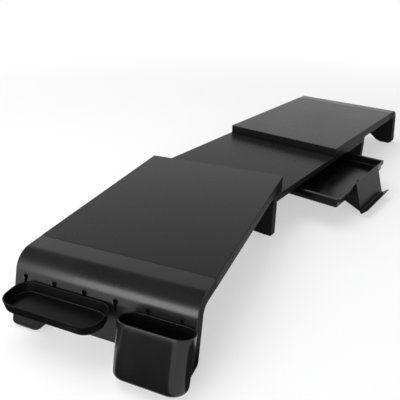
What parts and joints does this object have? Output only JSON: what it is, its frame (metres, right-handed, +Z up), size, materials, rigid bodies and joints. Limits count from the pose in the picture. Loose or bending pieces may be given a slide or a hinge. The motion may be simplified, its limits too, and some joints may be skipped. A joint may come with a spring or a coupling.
{
  "type": "dual monitor riser",
  "caption": "Dual monitor riser: a low bench with a drawer and phone holder, sliding and swinging shelves on moulded end legs, a hanging tray and pen cup.",
  "frame": {"origin": "middle of the footprint of the whole riser as it is set here, on the surface it stands on", "axes": "+X along the riser from the end with the tray and the cup to the other end, -Y towards the person at the desk, +Z up"},
  "size_m": [1.1868, 0.4032, 0.105],
  "materials": {
    "boards": "satin black laminate",
    "moulding": "satin black moulded plastic",
    "accessory": "fine matte black plastic",
    "rubber": "dull black rubber",
    "black_steel": "black coated steel",
    "zinc_steel": "bright zinc plated steel"
  },
  "bodies": {
    "bench": {"bench_board": "boards", "bench_left_leg": "boards", "bench_right_leg": "boards", "left_runner": "black_steel", "right_runner": "black_steel", "bench_left_pad_front": "rubber", "bench_left_pad_rear": "rubber", "bench_right_pad_front": "rubber", "bench_right_pad_rear": "rubber", "bench_left_leg_screw_1": "black_steel", "bench_left_leg_screw_2": "black_steel", "bench_left_leg_screw_3": "black_steel", "bench_right_leg_screw_1": "black_steel", "bench_right_leg_screw_2": "black_steel", "bench_right_leg_screw_3": "black_steel", "left_runner_screw_1": "zinc_steel", "left_runner_screw_2": "zinc_steel", "right_runner_screw_1": "zinc_steel", "right_runner_screw_2": "zinc_steel"},
    "drawer": {"drawer_tray": "accessory"},
    "holder": {"phone_holder": "accessory"},
    "left_nut": {"left_clamp_nut": "zinc_steel"},
    "left_knob": {"left_clamp_knob": "accessory", "left_clamp_bolt": "zinc_steel", "left_clamp_washer": "zinc_steel"},
    "left_shelf": {"left_shelf_board": "boards", "left_shelf_track": "zinc_steel", "left_end_leg": "moulding", "left_foot_pad_front": "rubber", "left_foot_pad_rear": "rubber", "left_track_screw_1": "zinc_steel", "left_track_screw_2": "zinc_steel", "left_end_leg_screw_1": "black_steel", "left_end_leg_screw_2": "black_steel", "left_end_leg_screw_3": "black_steel"},
    "right_nut": {"right_clamp_nut": "zinc_steel"},
    "right_knob": {"right_clamp_knob": "accessory", "right_clamp_bolt": "zinc_steel", "right_clamp_washer": "zinc_steel"},
    "right_shelf": {"right_shelf_board": "boards", "right_shelf_track": "zinc_steel", "right_end_leg": "moulding", "right_foot_pad_front": "rubber", "right_foot_pad_rear": "rubber", "right_track_screw_1": "zinc_steel", "right_track_screw_2": "zinc_steel", "right_end_leg_screw_1": "black_steel", "right_end_leg_screw_2": "black_steel", "right_end_leg_screw_3": "black_steel"},
    "tray": {"side_tray": "accessory"},
    "cup": {"pen_cup": "accessory"}
  },
  "joints": [
    {"name": "drawer_slide", "type": "slide", "parent": "bench", "child": "drawer", "axis": [0, -1, 0], "range_m": [-0.084, 0.06]},
    {"name": "holder_release", "type": "slide", "parent": "drawer", "child": "holder", "axis": [0, 0, -1], "range_m": [0, 0.006]},
    {"name": "left_swing", "type": "hinge", "parent": "bench", "child": "left_nut", "pos_m": [-0.09072, -0.03852, 0.0852], "axis": [0, 0, 1], "range_deg": [-15.3, 14.7]},
    {"name": "left_reach", "type": "slide", "parent": "left_nut", "child": "left_shelf", "axis": [0.9646, 0.2639, 0], "range_m": [-0.0025, 0.1645]},
    {"name": "left_knob_turn", "type": "hinge", "parent": "left_nut", "child": "left_knob", "pos_m": [-0.09072, -0.03852, 0.0852], "axis": [0, 0, -1], "range_deg": [0, 180]},
    {"name": "right_swing", "type": "hinge", "parent": "bench", "child": "right_nut", "pos_m": [0.30628, -0.03852, 0.0852], "axis": [0, 0, -1], "range_deg": [0, 30]},
    {"name": "right_reach", "type": "slide", "parent": "right_nut", "child": "right_shelf", "axis": [1, 0, 0], "range_m": [-0.022, 0.1449]},
    {"name": "right_knob_turn", "type": "hinge", "parent": "right_nut", "child": "right_knob", "pos_m": [0.30628, -0.03852, 0.0852], "axis": [0, 0, -1], "range_deg": [0, 180]},
    {"name": "side_tray_lift", "type": "slide", "parent": "left_shelf", "child": "tray", "axis": [0.3045, 0.0833, 0.9489], "range_m": [0, 0.009]},
    {"name": "pen_cup_lift", "type": "slide", "parent": "left_shelf", "child": "cup", "axis": [0.3045, 0.0833, 0.9489], "range_m": [0, 0.009]}
  ]
}
